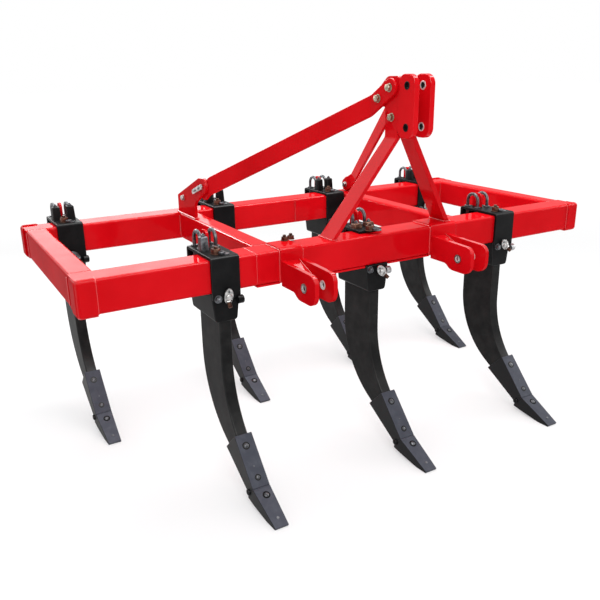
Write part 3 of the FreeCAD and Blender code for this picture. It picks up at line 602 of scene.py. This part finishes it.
def makeClampHardware():
    shapes = {name: bmesh.new() for name in ("silver", "bronze", "dark", "cast", "worn")}
    for leg in legNames:
        x, start = legMiddle(leg), beamStart(leg)
        face = clampFace["middle" if leg == "front_middle" else "others"]
        level = (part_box("clamp_" + leg)[1][2] - beamTop) / mm
        addFlange(shapes, leg, x, start, face)
        addSideBolts(shapes, leg, x, start, face)
        addTopNuts(shapes, x, start, level)
        addSaddleBlocks(shapes, leg, x, start, level)
        addEyeNut(shapes, x, start, level)
    finishPiece(shapes["silver"], "clampBolts", finishes["zinc_steel"])
    finishPiece(shapes["bronze"], "boltEnds", boltFinish["bronzeBolt"])
    finishPiece(shapes["dark"], "clampNuts", finishes["dark_steel"])
    finishPiece(shapes["cast"], "clampBosses", finishes["clamp_paint"], 50)
    finishPiece(shapes["worn"], "sideBolts", boltFinish["wornBolt"], 50)


# bolts of the mast, the braces and their brackets

mastBolt = {"washer": (35, 3), "head": (26, 12), "hole": 18}
mastNut = {"washer": (35, 3), "head": (26, 15), "hole": 18, "thread": (9, 8)}
mastSpots = (  # mm out to the outer face, behind the front beam's face, above the beams
    (66.5, -142, 647), (50.5, -142, 530),
)
mastRolls = {"head": 8, "nut": 21}
braceBolts = {  # second bolt of each brace, down the brace's slope from the first spot above
    "pitch": 87, "slopes": {-1: 30.4, 1: 26.7}, "headRoll": 14, "inner": 30.5,
    "nut": {"head": (30, 14)}, "nutRoll": 5,
}
slotPlate = {  # slotted strip on the left bracket, with dark keeper bars sunk in it
    "spot": (-568, 742, 161), "rise": 20, "length": 140, "width": 26, "thick": 7,
    "bar": (34, 9, 1.6), "bars": (-29, 29),
}
bracketCap = {"spot": (-568, 708, 148), "dome": (15, 3, 1)}
smallBolt = {"washer": (30, 3), "head": (24, 10), "hole": 16}
smallNut = {"washer": (30, 3), "head": (24, 13), "hole": 16}
bracketBolts = (  # spot, side that it faces, size, roll
    ((-536, 708, 148), 1, mastNut, 12), ((-568, 950, 89), -1, smallBolt, 3),
    ((-552, 950, 89), 1, smallNut, 9), ((568, 1062, 42), 1, mastNut, 18),
    ((536, 1062, 42), -1, mastBolt, 25),
)


def makeMastBolts():
    size = braceBolts
    shape = bmesh.new()
    for x, back, up in mastSpots:
        addBolt(shape, spot(-x, back, up), (-1, 0, 0), mastBolt, mastRolls["head"])
        addBolt(shape, spot(x, back, up), (1, 0, 0), mastNut, mastRolls["nut"])
    outer, back, up = mastSpots[0]
    for side, slope in size["slopes"].items():
        fall = math.radians(slope)
        along, level = back + size["pitch"] * math.cos(fall), up - size["pitch"] * math.sin(fall)
        addBolt(shape, spot(side * outer, along, level), (side, 0, 0), mastBolt, size["headRoll"])
        addBolt(shape, spot(side * size["inner"], along, level), (-side, 0, 0), size["nut"],
                size["nutRoll"])
    finishPiece(shape, "mastBolts", boltFinish["yellowZinc"])


def makeBracketBolts():
    foot, dark, cap = (bmesh.new() for _ in range(3))
    rise = math.radians(slotPlate["rise"])
    along = Vector((0, -math.cos(rise), math.sin(rise)))
    across = Vector((0, math.sin(rise), math.cos(rise)))
    strip = (Matrix.Translation(spot(*slotPlate["spot"]))
             @ Matrix((along, across, (-1, 0, 0))).transposed().to_4x4())
    addShaped(foot, stadium(slotPlate["length"], slotPlate["width"], slotPlate["thick"]), strip)
    for step in slotPlate["bars"]:
        seat = Matrix.Translation((step * mm, 0, slotPlate["thick"] * mm))
        addShaped(dark, stadium(*slotPlate["bar"]), strip @ seat)
    dome = turned(domeOutline(*bracketCap["dome"]), 28)
    addPart(cap, dome, spot(*bracketCap["spot"]), (-1, 0, 0))
    for place, side, size, roll in bracketBolts:
        addBolt(foot, spot(*place), (side, 0, 0), size, roll)
    finishPiece(foot, "bracketBolts", finishes["zinc_steel"])
    finishPiece(dark, "plateSlots", finishes["dark_steel"])
    finishPiece(cap, "bracketCap", finishes["frame_paint"], 50)


# steel liners in the bores of the lower hitches and the top link plates; black paint tubes deeper
# inside are painted shade

liner = {
    "flange": 1.6, "soft": 0.4, "skin": 0.12, "wall": 3.2, "lowerWall": 5.6,
    # the dark band, black paint 9 to 15 mm inside each lower bore, is painted shade
    "lowerTube": (("bright", -0.5, 9), ("dark", 9, 15), ("bright", 15, 24.5)),
}
topPlates = (  # side, node, shape that the rims go into, share of the wall
    (-1, "top_link_plate_left", "dark", 1), (1, "top_link_plate_right", "bright", 1.6),
)


def addRim(shape, inner, wall, at, way, sides):
    rim = ringOutline(inner, inner + wall, liner["flange"], liner["soft"])
    addPart(shape, turned(rim, sides), at, way)


def lineLowerBore(shapes, mount, inner):
    middle, out = Vector(mount["pos_m"]), Vector(mount["axis"])
    start = middle - out * mount["dims"]["length_mm"] / 2 * mm
    addRim(shapes["bright"], inner, liner["lowerWall"], start, -out, 40)
    for name, low, high in liner["lowerTube"]:
        addPart(shapes[name], turned(tubeOutline(inner, low, high), 40), start, out)


def lineTopBore(shapes, mount, inner):
    middle = Vector(mount["pos_m"])
    for hand, plate, rimShape, share in topPlates:
        low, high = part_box(plate)
        near, far = sorted((abs(low[0]), abs(high[0])))
        for level, way in ((near, -1), (far, 1)):
            addRim(shapes[rimShape], inner, liner["wall"] * share,
                   middle + Vector((hand * level, 0, 0)), (hand * way, 0, 0), 36)
        # the dark tube through each plate is painted shade inside the bore
        tube = turned(tubeOutline(inner, 0, (far - near) / mm), 36)
        addPart(shapes["dark"], tube, middle + Vector((hand * near, 0, 0)), (hand, 0, 0))


def makeHitchLiners():
    shapes = {"bright": bmesh.new(), "dark": bmesh.new()}
    for mount in frame["record"]["mounts"]:
        inner = mount["dims"]["r_mm"] - liner["skin"]
        lower = mount["name"].startswith("lower_hitch")
        (lineLowerBore if lower else lineTopBore)(shapes, mount, inner)
    finishPiece(shapes["bright"], "hitchLiners", boltFinish["linerSteel"])
    # the dark piece: painted shade tubes inside the bores, and the left top plate's dark rims
    finishPiece(shapes["dark"], "hitchLinerTubes", finishes["clamp_paint"])


# bolts in the shin guards and points

guardBolts = {  # share of the way down the face, mm to the side, radius, height of the dome
    "guard": ((0.22, -4, 11.5, 7), (0.82, 0, 8.5, 5), (0.61, 0, 3, 1.2)),
    "point": ((0.21, 4, 11, 6), (0.78, 2, 6.5, 3)),
    "lip": 1, "ringFrom": 7, "ringInset": 0.5, "ringReach": 5.5, "ringThick": 1.6,
    "sideSpot": (-229, 60), "sideFace": 40, "sideHead": (14, 9, 5),
}
guardFaces = {  # mm behind the beam's face and above the ground, at each face's top and foot
    "guard": ((-108, 264), (-266, 92)), "point": ((-266, 92), (-442, 9)),
}


def makeGuardBolts():
    domes, rings = bmesh.new(), bmesh.new()
    ground = -beamTop / mm
    for leg in legNames:
        x, start = legMiddle(leg), beamStart(leg)
        for part, ((y0, z0), (y1, z1)) in guardFaces.items():
            out = Vector((0, z1 - z0, y0 - y1)).normalized()
            for share, side, radius, height in guardBolts[part]:
                back, up = start + y0 + share * (y1 - y0), ground + z0 + share * (z1 - z0)
                seat = spot(x + side, back, up)
                dome = turned(domeOutline(radius, height, guardBolts["lip"]), 20)
                addPart(domes, dome, seat, out)
                if radius > guardBolts["ringFrom"]:
                    ring = ringOutline(radius - guardBolts["ringInset"],
                                       radius + guardBolts["ringReach"], guardBolts["ringThick"])
                    addPart(rings, turned(ring, 28), seat, out)
        back, up = guardBolts["sideSpot"]
        for side in (-1, 1):
            head = turned(domeOutline(*guardBolts["sideHead"]), 24)
            seat = spot(x + side * guardBolts["sideFace"], start + back, ground + up)
            addPart(rings, head, seat, (side, 0, 0))
    finishPiece(domes, "guardBolts", finishes["dark_steel"], 50)
    finishPiece(rings, "guardWashers", finishes["clamp_paint"])


# bolts behind the hitch collars

collarBolt = {"washer": (34, 3), "head": (26, 14), "hole": 16, "thread": (8, 7)}
collarSpots = (  # x, mm behind the front beam's face, mm above the beams, roll
    (-426, 114, 8, 24), (-389, 124, 8, 1), (470, 116, 0, 20),
)


def makeCollarBolts():
    shape = bmesh.new()
    for x, back, up, roll in collarSpots:
        addBolt(shape, spot(x, back, up), (0, 0, 1), collarBolt, roll)
    finishPiece(shape, "collarBolts", boltFinish["bronzeBolt"])


# plate welded on the rear beam's face, which ends under a clamp

rearDoubler = {
    "left": 140, "thick": 7, "inset": 4, "soft": 2.5, "softSegments": 3, "under": 6,
}


def makeRearDoubler(size):
    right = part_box("clamp_rear_right")[0][0] / mm + size["under"]
    depth = (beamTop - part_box("rear_beam")[0][2]) / mm
    width, tall = right - size["left"], depth - 2 * size["inset"]
    shape = bmesh.new()
    seat = spot(size["left"] + width / 2, rearBack - size["thick"] / 2, -depth / 2)
    block = Matrix.Diagonal((width * mm, size["thick"] * mm, tall * mm, 1))
    bmesh.ops.create_cube(shape, size=1, matrix=Matrix.Translation(seat) @ block)
    roundRims(shape, shape.edges[:], size["soft"], size["softSegments"])
    finishPiece(shape, "rearDoubler", finishes["frame_paint"], 50)


# weld beads: each is a line of spots and the bead's radius in mm

bead = {"step": 5.0, "ripple": 0.16, "sides": 2}
beamCorner = {"radius": 14, "angles": (0, 30, 60, 90)}
tubeSeams = {  # where the side and cross tubes meet the beams
    "tubes": ({"inner": 1260, "outer": 1360, "away": 0.6, "radius": 3},
              {"inner": 484, "outer": 576, "away": 2, "radius": 5}),
    "inset": 8, "sink": 5, "levels": (-7, -133), "flatRadius": 7.5,
    "side": (-14, -128), "away": 2, "radius": 5,
}
sleeveSeam = {"x": 1288, "reach": 20, "low": -136, "radius": 4}
faceSeams = {  # on the faces of the beams
    "front": {"x": -622, "reach": 126, "low": -126, "sunk": 0.8, "radius": 2.4},
    "rear": {"beside": 1, "sunk": 1, "top": -8, "foot": -132, "radius": 3.4},
}
hitchSeams = {
    "aside": 2, "reach": 124, "low": -138, "radius": 5, "back": 128, "up": 2,
    "ear": 32, "outerEar": 56, "ears": (-10, -46, -154), "earRadius": 4.5,
    "web": ((-12, -48), (-135, -95)), "webRadius": 3.2,
}
footSeams = {
    "feet": (  # x, half width, first and last mm behind the front beam's face, level
        (-227, 11, 17, 123, 0), (430, 13.5, 17, 123, 8), (-560, 8, 800, 1035, 0),
        (560, 8, 1016, 1108, 0),
    ),
    "away": 2, "radius": 5,
}


def walk(corners, step):  # even steps along a line of corners
    points = [corners[0]]
    for first, last in zip(corners, corners[1:]):
        count = max(1, round((last - first).length / (step * mm)))
        points += [first.lerp(last, (index + 1) / count) for index in range(count)]
    return points


def upright(x, back, top, foot):
    return [spot(x, back, top), spot(x, back, foot)]


def overBeam(x, reach, low, face=0, way=1, top=0):
    # up a beam's face, round its top corner and over its top
    radius = beamCorner["radius"]
    angles = [math.radians(angle) for angle in beamCorner["angles"]]
    turn = [(radius - radius * math.cos(a), radius * math.sin(a) - radius) for a in angles]
    line = [(0, low)] + turn + [(reach, 0)]
    return [spot(x, face + way * y, top + z) for y, z in line]


def tubeWelds(tube, side, back, way):  # round the end of a tube, on the face of a beam
    size = tubeSeams
    inner, outer = side * tube["inner"], side * tube["outer"]
    ends = (inner + side * size["inset"], outer - side * size["inset"])
    over, under = ([spot(x, back - way * size["sink"], up) for x in ends] for up in size["levels"])
    near = upright(inner - side * size["away"], back + way * size["away"], *size["side"])
    far = upright(outer + side * tube["away"], back + way * tube["away"], *size["side"])
    return [(over, size["flatRadius"]), (near, size["radius"]), (far, tube["radius"]),
            (under, size["flatRadius"])]


def frameWelds():
    lines = []
    for side in (-1, 1):
        for tube in tubeSeams["tubes"]:
            for back, way in ((beamWide, 1), (rearBack, -1)):
                lines += tubeWelds(tube, side, back, way)
        x, reach, low = side * sleeveSeam["x"], sleeveSeam["reach"], sleeveSeam["low"]
        for face, way in ((0, 1), (rearBack + beamWide, -1)):
            lines.append((overBeam(x, reach, low, face, way), sleeveSeam["radius"]))
    size = faceSeams["front"]
    line = overBeam(size["x"], size["reach"], size["low"], size["sunk"], 1, -size["sunk"])
    lines.append((line, size["radius"]))
    size = faceSeams["rear"]
    x = rearDoubler["left"] - size["beside"]
    lines.append((upright(x, rearBack - size["sunk"], size["top"], size["foot"]), size["radius"]))
    return lines


def hitchWelds():
    size = hitchSeams
    lines = []
    for hand in ("left", "right"):
        low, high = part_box("lower_hitch_" + hand)
        middle = (low[0] + high[0]) / 2 / mm
        collarLow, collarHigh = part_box("hitch_collar_" + hand)
        left, right = collarLow[0] / mm, collarHigh[0] / mm
        for x in (left - size["aside"], right + size["aside"]):
            lines.append((overBeam(x, size["reach"], size["low"]), size["radius"]))
        lines.append(([spot(left, size["back"], size["up"]), spot(right, size["back"], size["up"])],
                      size["radius"]))
        for side in (-1, 1):
            x = middle + side * size["ear"]
            lines.append((upright(x, *size["ears"]), size["earRadius"]))
            lines.append(([spot(x, back, up) for back, up in size["web"]], size["webRadius"]))
    outerEar = middle + size["outerEar"]  # of the right hitch, the last one above
    lines.append((upright(outerEar, *size["ears"]), size["earRadius"]))
    return lines


def footWelds():
    lines = []
    away = footSeams["away"]
    for x, half, start, end, level in footSeams["feet"]:
        corners = ((x - half - away, start - away), (x + half + away, start - away),
                   (x + half + away, end + away), (x - half - away, end + away))
        loop = [spot(across, back, level + away) for across, back in corners]
        lines.append((loop + loop[:1], footSeams["radius"]))
    return lines


def makeWelds(lines):
    curve = bpy.data.curves.new("weldBeads", "CURVE")
    curve.dimensions = "3D"
    curve.bevel_depth = mm
    curve.bevel_resolution = bead["sides"]
    curve.use_fill_caps = True
    for corners, radius in lines:
        points = walk(corners, bead["step"])
        line = curve.splines.new("POLY")
        line.points.add(len(points) - 1)
        for index, (dot, point) in enumerate(zip(line.points, points)):
            dot.co = (*point, 1)
            dot.radius = radius * (1 - bead["ripple"] * (index % 2))
    curve.materials.append(weldFinish)
    beads = bpy.data.objects.new("weldBeads", curve)
    scene.collection.objects.link(beads)
    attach(beads, "root")
    print("weldBeads made:", len(lines), "lines")


makeClampHardware()
makeMastBolts()
makeBracketBolts()
makeHitchLiners()
makeGuardBolts()
makeCollarBolts()
makeRearDoubler(rearDoubler)
makeWelds(frameWelds() + hitchWelds() + footWelds())


# camera, lights, background and floor

view = {
    "place": (-1.8399, -2.8544, 1.7337), "yaw": 30.14, "pitch": 18.76, "roll": -0.82, "lens": 40.82,
    "sensor": 36,
}
lights = {  # place, aim, width, height, watts
    "key": ((-1.5, -3.0, 3.1), (0, 0, 0.6), 2.2, 2.2, 62),
    "over": ((0.2, 0.75, 3.7), (0, 0.3, 0.6), 5.0, 1.6, 108),
    "side": ((4.5, -1.5, 2.0), (0, 0, 0.7), 2.0, 2.5, 58),
    "back": ((-0.4, 3.9, 2.2), (-0.4, 0, 0.95), 2.8, 1.2, 46),
    "rim": ((-1.5, 3.9, 2.8), (-0.5, 0, 1.0), 1.2, 0.5, 22),
    "strip": ((0.3, -1.2, 3.5), (0, -0.4, 1.0), 4.0, 0.25, 15),
    "rearStrip": ((0.9, -0.1, 3.5), (0.2, 0.5, 1.0), 4.0, 0.4, 12),
}
studio = {"sky": (0.95, 0.97, 1.0), "ambient": 0.5, "shown": 1.0}
studioFloor = {  # the glow that rays from the camera see grows over the spread, in metres
    "reach": 60, "paleness": 0.86, "roughness": 0.9, "specular": 0.1, "strength": 1.04,
    "glow": 0.45, "spread": (1.2, 6.0),
}


def makeCamera(size):
    yaw, pitch, roll = (math.radians(size[key]) for key in ("yaw", "pitch", "roll"))
    ahead = Vector((math.sin(yaw) * math.cos(pitch), math.cos(yaw) * math.cos(pitch),
                    -math.sin(pitch)))
    right = Vector((math.cos(yaw), -math.sin(yaw), 0))
    up = right.cross(ahead)
    tiltedRight = right * math.cos(roll) + up * math.sin(roll)
    tiltedUp = up * math.cos(roll) - right * math.sin(roll)
    data = bpy.data.cameras.new("camera")
    data.lens = size["lens"]
    data.sensor_width = size["sensor"]
    camera = bpy.data.objects.new("camera", data)
    axes = Matrix((tiltedRight, tiltedUp, -ahead)).transposed()
    camera.matrix_world = Matrix.Translation(size["place"]) @ axes.to_4x4()
    scene.collection.objects.link(camera)
    scene.camera = camera


def makeLights(sizes):
    for name, (place, aim, width, height, watts) in sizes.items():
        data = bpy.data.lights.new(name, "AREA")
        data.shape = "RECTANGLE"
        data.size, data.size_y, data.energy = width, height, watts
        lamp = bpy.data.objects.new(name, data)
        lamp.location = place
        lamp.rotation_euler = (Vector(aim) - Vector(place)).to_track_quat("-Z", "Y").to_euler()
        scene.collection.objects.link(lamp)


def backdropRays(tree):  # 1 for what the camera, glossy and glass rays see
    path = tree.nodes.new("ShaderNodeLightPath")
    total = path.outputs["Is Camera Ray"]
    for ray in ("Is Glossy Ray", "Is Transmission Ray"):
        add = tree.nodes.new("ShaderNodeMath")
        add.operation = "MAXIMUM"
        tree.links.new(total, add.inputs[0])
        tree.links.new(path.outputs[ray], add.inputs[1])
        total = add.outputs[0]
    return total


def mixShaders(tree, factor, first, second, out):
    mix = tree.nodes.new("ShaderNodeMixShader")
    for socket, source in zip(mix.inputs, (factor, first.outputs[0], second.outputs[0])):
        tree.links.new(source, socket)
    tree.links.new(mix.outputs[0], out.inputs["Surface"])


def makeWorld(size):
    world = bpy.data.worlds.new("studio")
    scene.world = world
    world.use_nodes = True
    tree = world.node_tree
    tree.nodes.clear()
    lit, seen = (tree.nodes.new("ShaderNodeBackground") for _ in range(2))
    lit.inputs["Color"].default_value = (*size["sky"], 1)
    lit.inputs["Strength"].default_value = size["ambient"]
    seen.inputs["Color"].default_value = (1, 1, 1, 1)
    seen.inputs["Strength"].default_value = size["shown"]
    mixShaders(tree, backdropRays(tree), lit, seen, tree.nodes.new("ShaderNodeOutputWorld"))


def makeFloor(size):
    shape = bmesh.new()
    bmesh.ops.create_grid(shape, x_segments=1, y_segments=1, size=size["reach"])
    mesh = bpy.data.meshes.new("floor")
    shape.to_mesh(mesh)
    shape.free()
    floor = bpy.data.objects.new("floor", mesh)
    scene.collection.objects.link(floor)
    material = bpy.data.materials.new("floor")
    material.use_nodes = True
    tree = material.node_tree
    shader = tree.nodes["Principled BSDF"]
    shader.inputs["Base Color"].default_value = (*[size["paleness"]] * 3, 1)
    shader.inputs["Roughness"].default_value = size["roughness"]
    shader.inputs["Specular IOR Level"].default_value = size["specular"]
    light = tree.nodes.new("ShaderNodeEmission")
    light.inputs["Strength"].default_value = size["strength"]
    away = tree.nodes.new("ShaderNodeVectorMath")  # the way from the object's middle
    away.operation = "LENGTH"
    tree.links.new(tree.nodes.new("ShaderNodeTexCoord").outputs["Object"], away.inputs[0])
    glow = tree.nodes.new("ShaderNodeMapRange")
    stops = (*size["spread"], size["glow"], 1.0)
    for socket, value in zip(("From Min", "From Max", "To Min", "To Max"), stops):
        glow.inputs[socket].default_value = value
    tree.links.new(away.outputs["Value"], glow.inputs["Value"])
    factor = tree.nodes.new("ShaderNodeMath")
    factor.operation = "MULTIPLY"
    tree.links.new(backdropRays(tree), factor.inputs[0])
    tree.links.new(glow.outputs["Result"], factor.inputs[1])
    mixShaders(tree, factor.outputs[0], shader, light, tree.nodes["Material Output"])
    mesh.materials.append(material)


makeCamera(view)
makeLights(lights)
makeWorld(studio)
makeFloor(studioFloor)
scene.view_settings.view_transform = "Standard"
print("camera, lights and floor made")
